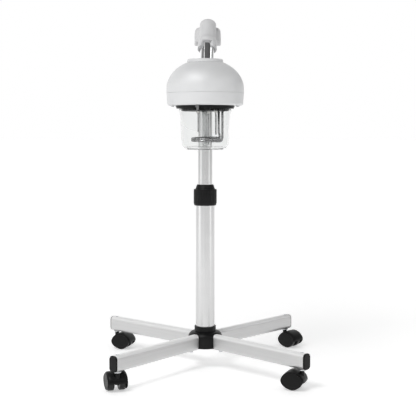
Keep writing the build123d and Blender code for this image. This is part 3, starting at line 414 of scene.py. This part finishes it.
def to_piece(name, mesh, look, body, slot_name, *nodes):
    """A smooth-shaded piece from a bmesh: it rides on a body and stands for those CAD nodes."""
    data = bpy.data.meshes.new(name)
    bmesh.ops.recalc_face_normals(mesh, faces=mesh.faces[:])
    mesh.to_mesh(data)
    mesh.free()
    data.materials.append(look)
    data.shade_smooth()
    piece = bpy.data.objects.new(name, data)
    scene.collection.objects.link(piece)
    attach(piece, body)
    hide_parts(*nodes)
    return piece


def turns(count):
    """Angles of that many equal steps around a circle."""
    return [2 * math.pi * step / count for step in range(count)]


def joined(mesh, first, second):
    """Faces between two closed rings of the same number of vertices."""
    for step in range(len(first)):
        after = (step + 1) % len(first)
        mesh.faces.new((first[step], first[after], second[after], second[step]))


def lofted(mesh, rings):
    """A closed skin over rings of points, capped at both ends."""
    rows = [[mesh.verts.new(point) for point in ring] for ring in rings]
    for first, second in zip(rows, rows[1:]):
        joined(mesh, first, second)
    mesh.faces.new(reversed(rows[0]))
    mesh.faces.new(rows[-1])


def swept(mesh, path, radius, around=14):
    """A round rod along the points, closed at both ends."""
    rings = []
    side = Vector((1, 0, 0))
    for i, point in enumerate(path):
        way = (path[min(i + 1, len(path) - 1)] - path[max(i - 1, 0)]).normalized()
        side = (side - way * side.dot(way)).normalized()
        across = way.cross(side)
        rings.append([
            point + radius * (side * math.cos(turn) + across * math.sin(turn)) for turn in turns(around)
        ])
    lofted(mesh, rings)


def bend(start, start_way, end, end_way, reach, steps=12):
    """Points of a smooth bend from start to end, without the end itself."""
    one = start + reach * start_way
    two = end - reach * end_way
    points = []
    for step in range(steps):
        t = step / steps
        u = 1 - t
        points.append(start * u**3 + one * 3 * u * u * t + two * 3 * u * t * t + end * t**3)
    return points


COIL_CENTRE = Vector((0.0035, -0.088, 0))
COIL_R = 0.0372
COIL_LOW = 0.6002
COIL_HIGH = 0.6092
COIL_START = -26  # degrees from +X
COIL_TURN = -660
COIL_STEPS = 150
COIL_TUBE_R = 0.0029
ROD_TOP = 0.7035
LONG_ROD = Vector((0.044, -0.091, 0))
LONG_ROD_MIDDLE = 0.66
LONG_ROD_END = 0.620
LONG_ROD_REACH = 0.013
SHORT_ROD = Vector((0.035, -0.069, 0))
SHORT_ROD_END = 0.628
SHORT_ROD_REACH = 0.012


def coil():
    """Points of the coil, from the long rod's side to the short rod's."""
    points = []
    for step in range(COIL_STEPS + 1):
        part = step / COIL_STEPS
        turn = math.radians(COIL_START + COIL_TURN * part)
        height = COIL_LOW + (COIL_HIGH - COIL_LOW) * part
        points.append(COIL_CENTRE + Vector((COIL_R * math.cos(turn), COIL_R * math.sin(turn), height)))
    return points


def heater():
    """One tube: down, around the bottom of the jar twice, and up again."""
    up = Vector((0, 0, 1))
    loop = coil()
    enter = (loop[1] - loop[0]).normalized()
    leave = (loop[-1] - loop[-2]).normalized()
    long_end = LONG_ROD + up * LONG_ROD_END
    short_end = SHORT_ROD + up * SHORT_ROD_END
    path = [LONG_ROD + up * ROD_TOP, LONG_ROD + up * LONG_ROD_MIDDLE]
    path += bend(long_end, -up, loop[0], enter, LONG_ROD_REACH)
    path += loop
    path += bend(loop[-1], leave, short_end, up, SHORT_ROD_REACH)[1:]
    path += [short_end, SHORT_ROD + up * ROD_TOP]
    mesh = bmesh.new()
    swept(mesh, path, COIL_TUBE_R)
    to_piece("heater_tube", mesh, LOOKS["heater_steel"], "head", "chrome", "heater_coil")


def eased(value, start, end):
    """0 before start, 1 after end, and a smooth rise between them."""
    t = min(max((value - start) / (end - start), 0.0), 1.0)
    return t * t * (3 - 2 * t)


LEAN = math.radians(32)
ARM_TURN = math.radians(3)
ARM_ROOT = Vector((0.004, -0.071, 0.802))
ARM_SIDE = Vector((math.cos(ARM_TURN), -math.sin(ARM_TURN), 0))
ARM_FLAT = Vector((math.sin(ARM_TURN), math.cos(ARM_TURN), 0))
ARM_WAY = ARM_FLAT * math.sin(LEAN) + Vector((0, 0, math.cos(LEAN)))
ARM_BACK = ARM_SIDE.cross(ARM_WAY)
BORE_R = 0.0182
BORE_END = 0.090
SLEEVE_R = 0.0246
SLEEVE_LOW = 0.042  # distances along the arm, from its root
SLEEVE_ARCH = 0.0558
SLEEVE_EVEN = 0.064
SLEEVE_END = 0.066
LIP = 0.0008
ARCH_HALF = 28  # degrees from the near side at which the arch begins to fall
ARCH_END = 47
ELBOW_R = 0.0214
ELBOW_START = 0.076
ELBOW_END = 0.1295
CROWN_R = 0.010
CROWN_TALL = 0.0085


def elbow_outline(rim):
    """(radius, distance along the arm): out of the bore, round the rim and up to the crown."""
    outline = [(BORE_R, BORE_END), (BORE_R, rim + LIP), (BORE_R + LIP, rim), (SLEEVE_R, rim + LIP / 2)]
    outline += [(SLEEVE_R, rim + LIP + (SLEEVE_EVEN - rim) * part) for part in (0.08, 0.35, 0.7, 1.0)]
    outline += [(SLEEVE_R, SLEEVE_END), (0.0236, 0.069), (0.0222, 0.073)]
    outline += [(ELBOW_R, ELBOW_START), (ELBOW_R, 0.098)]
    for step in range(9):
        turn = math.radians(90 * step / 8)
        inward = CROWN_R * (1 - math.cos(turn))
        outline.append((ELBOW_R - inward, ELBOW_END - CROWN_TALL * (1 - math.sin(turn))))
    return outline + [(0.006, ELBOW_END + 0.0007)]


def elbow_skin(mesh):
    """Sleeve with an arched near rim, necked in to the elbow's cylinder with its rounded crown."""
    columns = []
    for turn in turns(96):
        from_near = abs((math.degrees(turn) + 180) % 360 - 180)
        rim = SLEEVE_ARCH - (SLEEVE_ARCH - SLEEVE_LOW) * eased(from_near, ARCH_HALF, ARCH_END)
        out = ARM_BACK * math.cos(turn) + ARM_SIDE * math.sin(turn)
        columns.append([
            ARM_ROOT + ARM_WAY * along + out * radius for radius, along in elbow_outline(rim)
        ])
    lofted(mesh, list(zip(*columns)))


HOOD_DIP = math.radians(20)
HOOD_WAY = Vector((0, math.cos(HOOD_DIP), -math.sin(HOOD_DIP)))
HOOD_UP = Vector((0, math.sin(HOOD_DIP), math.cos(HOOD_DIP)))
HOOD_ROOT = ARM_ROOT + ARM_WAY * 0.0995


def hood_ring(along, half_width, half_height, upper, lower):
    """Rounded outline across the spout, rounder above than below."""
    ring = []
    for quarter in range(4):
        above = quarter in (0, 1)
        radius = upper if above else lower
        right = quarter in (0, 3)
        centre_x = (half_width - radius) * (1 if right else -1)
        centre_z = (half_height - radius) * (1 if above else -1)
        for step in range(9):
            turn = math.radians(90 * quarter + 90 * step / 8)
            x = centre_x + radius * math.cos(turn)
            z = centre_z + radius * math.sin(turn)
            ring.append(HOOD_ROOT + HOOD_WAY * along + Vector((1, 0, 0)) * x + HOOD_UP * z)
    return ring


def hood_skin(mesh):
    """Bell-shaped hood: out over its back and side to the rim, and in again along the inside."""
    lofted(mesh, [
        hood_ring(0.0110, 0.0180, 0.0165, 0.0120, 0.0100),
        hood_ring(0.0140, 0.0210, 0.0180, 0.0125, 0.0080),
        hood_ring(0.0165, 0.0270, 0.0198, 0.0130, 0.0060),
        hood_ring(0.0185, 0.0322, 0.0213, 0.0130, 0.0048),
        hood_ring(0.0205, 0.0338, 0.0220, 0.0130, 0.0045),
        hood_ring(0.0290, 0.0343, 0.0225, 0.0130, 0.0045),
        hood_ring(0.0378, 0.0350, 0.0230, 0.0130, 0.0045),
        hood_ring(0.0385, 0.0345, 0.0225, 0.0126, 0.0042),
        hood_ring(0.0378, 0.0330, 0.0211, 0.0115, 0.0034),
        hood_ring(0.0230, 0.0318, 0.0200, 0.0110, 0.0034),
        hood_ring(0.0205, 0.0290, 0.0185, 0.0105, 0.0040),
        hood_ring(0.0180, 0.0180, 0.0150, 0.0100, 0.0060),
    ])


def nozzle():
    """Elbow and hood as one moulded-looking shell."""
    mesh = bmesh.new()
    elbow_skin(mesh)
    hood_skin(mesh)
    look = LOOKS["nozzle_plastic"]
    piece = to_piece(
        "nozzle_shell", mesh, look, "nozzle", "nozzle_plastic", "nozzle_elbow", "nozzle_hood"
    )
    piece.data.set_sharp_from_angle(angle=math.radians(50))


STEM_AT = 0.3335
HEADINGS = {"front_right": 320, "front_left": 340, "rear_left": 108, "rear_right": 159}
TRAIL = 0.020
OVAL_HEIGHT = 0.0225
OVAL_POWER = 1.8
FENDER = (0.0295, 0.0242)  # half length and half height of each oval
FENDER_WALL = 0.0016
COVER = (0.0285, 0.0208)
WEB = (0.0275, 0.0222)
WEB_HALF_WIDTH = 0.006
BOSS_R = 0.006
ARCH = [math.radians(-6 + 192 * step / 40) for step in range(41)]


def oval(turn, size, scale=1.0, inset=0.0):
    """(along, height) of a point on a blunt-ended oval, measured from the caster's stem."""
    c, s = math.cos(turn), math.sin(turn)
    along = math.copysign(abs(c) ** (2 / OVAL_POWER), c) * (size[0] * scale - inset)
    height = math.copysign(abs(s) ** (2 / OVAL_POWER), s) * (size[1] * scale - inset)
    return TRAIL + along, OVAL_HEIGHT + height


def caster_frame(side):
    """A function that places (along, height) and a distance aside in that caster's own frame."""
    angle = math.radians(SIDES[side])
    stem = Vector((STEM_AT * math.cos(angle), STEM_AT * math.sin(angle), 0))
    heading = math.radians(HEADINGS[side])
    trail = Vector((math.cos(heading), math.sin(heading), 0))
    axle = Vector((trail.y, -trail.x, 0))

    def at(spot, aside):
        return stem + trail * spot[0] + axle * aside + Vector((0, 0, spot[1]))

    return at


def fender(mesh, at):
    """Thin arch over both wheels, rounded down at its sides."""
    half = [(-0.0236, 0.88), (-0.0226, 0.945), (-0.0205, 0.985), (-0.014, 1.0)]
    outside = half + [(0, 1.008)] + [(-aside, scale) for aside, scale in reversed(half)]
    rings = []
    for turn in ARCH:
        ring = [at(oval(turn, FENDER, scale), aside) for aside, scale in outside]
        ring += [at(oval(turn, FENDER, scale, FENDER_WALL), aside) for aside, scale in reversed(outside)]
        rings.append(ring)
    lofted(mesh, rings)


def side_cover(mesh, at, hand):
    """Oval cover outside one wheel, with a raised edge around a shallow dish."""
    rings = []
    for aside, scale in (
        (0.0232, 0.30), (0.0232, 0.955), (0.0236, 0.965), (0.0243, 0.965), (0.0248, 0.945),
        (0.0249, 0.91), (0.0245, 0.875), (0.0242, 0.86), (0.0246, 0.62), (0.0247, 0.30),
    ):
        rings.append([at(oval(turn, COVER, scale), hand * aside) for turn in turns(48)])
    lofted(mesh, rings)


def web(mesh, at):
    """The plate between the wheels."""
    lofted(mesh, [
        [at(oval(turn, WEB), aside) for turn in ARCH] for aside in (-WEB_HALF_WIDTH, WEB_HALF_WIDTH)
    ])


def caster_shell(side):
    """Fender, side covers, web and the stem's boss as one moulding."""
    at = caster_frame(side)
    mesh = bmesh.new()
    fender(mesh, at)
    for hand in (-1, 1):
        side_cover(mesh, at, hand)
    web(mesh, at)
    swept(mesh, [at((0, height), 0) for height in (0.018, 0.044, 0.0465)], BOSS_R, 24)
    look = LOOKS["black_plastic"]
    piece = to_piece(
        "caster_shell_" + side, mesh, look, "caster_" + side, "black_plastic", "caster_hood_" + side
    )
    piece.data.set_sharp_from_angle(angle=math.radians(40))


def lathe(mesh, section, centre, around=128):
    """Turns a closed section of (radius, height) points about a vertical line."""
    rows = []
    for radius, height in section:
        rows.append([
            mesh.verts.new((centre[0] + radius * math.cos(t), centre[1] + radius * math.sin(t), height))
            for t in turns(around)
        ])
    for first, second in zip(rows, rows[1:] + rows[:1]):
        joined(mesh, first, second)


def corner(radius_at, height_at, radius, start, end, steps=8):
    """Points of a round corner about a centre, from one angle to another in degrees."""
    points = []
    for step in range(steps + 1):
        turn = math.radians(start + (end - start) * step / steps)
        points.append((radius_at + radius * math.cos(turn), height_at + radius * math.sin(turn)))
    return points


JAR_CENTRE = (0.0, -0.088)


def jar():
    """Clear jar: slightly tapered wall, rounded lip and base, and a low foot ring."""
    outside = corner(0.0655, 0.6812, 0.0012, 90, 0, 5) + [
        (0.0666, 0.6765), (0.0652, 0.6700), (0.0636, 0.6630), (0.0602, 0.5946)
    ]
    outside += corner(0.0482, 0.5946, 0.0120, -8, -84)
    foot = [(0.0468, 0.5827), (0.0463, 0.5822)] + corner(0.0443, 0.5812, 0.0019, 0, -180, 8)
    foot += [(0.0423, 0.5822), (0.0417, 0.5827), (0.0010, 0.5827)]
    inside = [(0.0010, 0.5851)] + corner(0.0482, 0.5946, 0.0096, -86, -4)
    inside += [(0.0612, 0.6630), (0.0628, 0.6700), (0.0640, 0.6765), (0.0642, 0.6812), (0.0646, 0.6822)]
    mesh = bmesh.new()
    lathe(mesh, outside + foot + inside, JAR_CENTRE)
    piece = to_piece("jar_glass", mesh, LOOKS["clear_jar"], "jar", "clear_jar", "jar")
    piece.data.set_sharp_from_angle(angle=math.radians(60))


def lock_ring():
    """Black ring that grips the jar's lip from inside, with its skirt showing through the jar."""
    section = [(0.0576, 0.6775), (0.0612, 0.6775)] + corner(0.0612, 0.6783, 0.0008, -70, 0, 3)
    section += [(0.0620, 0.6838), (0.0640, 0.6846), (0.0646, 0.6852), (0.0646, 0.6895)]
    section += [(0.0642, 0.6899), (0.0608, 0.6899), (0.0606, 0.6850), (0.0576, 0.6842)]
    mesh = bmesh.new()
    lathe(mesh, section, JAR_CENTRE)
    look = LOOKS["black_plastic"]
    piece = to_piece("lock_ring_turned", mesh, look, "jar_lock_ring", "black_plastic", "jar_lock_ring")
    piece.data.set_sharp_from_angle(angle=math.radians(35))


heater()
jar()
lock_ring()
nozzle()
for side in SIDES:
    caster_shell(side)


# ------------------------------------------------------------------ floor, light and camera


FLOOR_HALF = 60.0
NEAR_GLOW = 0.44
FAR_GLOW = 0.70


def floor():
    """A wide, plain, pale studio floor that glows a little, more so away from the object."""
    mesh = bmesh.new()
    bmesh.ops.create_grid(mesh, x_segments=8, y_segments=8, size=FLOOR_HALF)
    data = bpy.data.meshes.new("floor")
    mesh.to_mesh(data)
    mesh.free()
    piece = bpy.data.objects.new("floor", data)
    scene.collection.objects.link(piece)
    material, tree, shader = new_material("floor")
    where = place(tree)
    link(
        tree,
        Base_Color=colours(tree, noise(tree, where, 0.6, 3.0), (0.88, 0.88, 0.88), (0.90, 0.90, 0.90)),
        Roughness=between(tree, noise(tree, where, 0.05, 3.0), 0.75, 0.85),
    )
    away = shade(tree, "VectorMath", Vector=where)
    away.operation = "LENGTH"
    glow = between(tree, away.outputs["Value"], NEAR_GLOW, FAR_GLOW, start=0.4, end=2.5)
    link(tree, Emission_Strength=glow)
    settle(shader, Emission_Color=(1, 1, 1, 1))
    data.materials.append(material)


FRONT_LIGHT = 0.42
SIDE_LIGHT = 0.27
REAR_LIGHT = 0.85
OVERHEAD_SHADE = 0.40
RIGHT_SHADE = 0.55


def backdrop():
    """A pale room, seen white: it lights the object from behind and in front more than from aside."""
    world = bpy.data.worlds.new("studio")
    scene.world = world
    world.use_nodes = True
    tree = world.node_tree
    shown = tree.nodes["Background"]
    shown.inputs["Color"].default_value = (1, 1, 1, 1)
    way = shade(tree, "SeparateXYZ", Vector=shade(tree, "TexCoord").outputs["Generated"])
    front = between(tree, way.outputs["Y"], FRONT_LIGHT, SIDE_LIGHT, start=-0.9, end=-0.3)
    rear = between(tree, way.outputs["Y"], 0.0, REAR_LIGHT, start=0.25, end=0.75)
    low = between(tree, way.outputs["Z"], 1.0, OVERHEAD_SHADE, start=0.45, end=0.90)
    left = between(tree, way.outputs["X"], 1.0, RIGHT_SHADE, start=0.15, end=0.8)
    level = maths(tree, "MULTIPLY", maths(tree, "ADD", front, rear), maths(tree, "MULTIPLY", low, left))
    lighting = shade(tree, "Background", Color=(1, 1, 1, 1), Strength=level)
    path = shade(tree, "LightPath").outputs
    seen = maths(tree, "MAXIMUM", path["Is Camera Ray"], path["Is Transmission Ray"])
    shader_choice(
        tree, seen, lighting.outputs["Background"], shown.outputs["Background"], "World Output"
    )


def softbox(name, position, target, width, height, radiance):
    """A rectangular area light that looks at the target, as bright as a surface of that radiance."""
    data = bpy.data.lights.new(name, "AREA")
    data.shape = "RECTANGLE"
    data.size = width
    data.size_y = height
    data.energy = radiance * math.pi * width * height
    lamp = bpy.data.objects.new(name, data)
    scene.collection.objects.link(lamp)
    lamp.location = position
    lamp.rotation_euler = (Vector(target) - Vector(position)).to_track_quat("-Z", "Y").to_euler()


def lights():
    """Tall side boxes, narrow rim boxes high on both sides, the key on the left and a weak fill."""
    middle = (0, 0, 0.5)
    head = (0, -0.07, 0.8)
    softbox("left_box", (-2.35, -0.75, 1.2), middle, 1.2, 2.6, 0.70)
    softbox("right_box", (2.35, -0.95, 1.2), middle, 0.65, 2.4, 1.05)
    softbox("right_rim_box", (1.80, 0.05, 2.10), head, 0.45, 0.9, 1.9)
    softbox("left_rim_box", (-1.60, -0.60, 2.50), head, 0.35, 0.9, 1.8)
    softbox("key_box", (-0.95, -1.40, 2.45), head, 0.90, 0.90, 11.0)
    softbox("fill_box", (1.0, -1.7, 1.8), head, 0.55, 0.55, 3.0)


def camera():
    """The photograph's view: from behind, at the height of the jar, with the lens dropped a little."""
    data = bpy.data.cameras.new("camera")
    data.sensor_width = 36.0
    data.lens = 82.85
    data.shift_y = -0.0938
    seen_from = bpy.data.objects.new("camera", data)
    scene.collection.objects.link(seen_from)
    seen_from.location = (0.0, -2.5367, 0.6294)
    seen_from.rotation_euler = (math.radians(90 - 2.335), 0, math.radians(-0.169))
    scene.camera = seen_from


scene.view_settings.view_transform = "Standard"
floor()
backdrop()
lights()
camera()
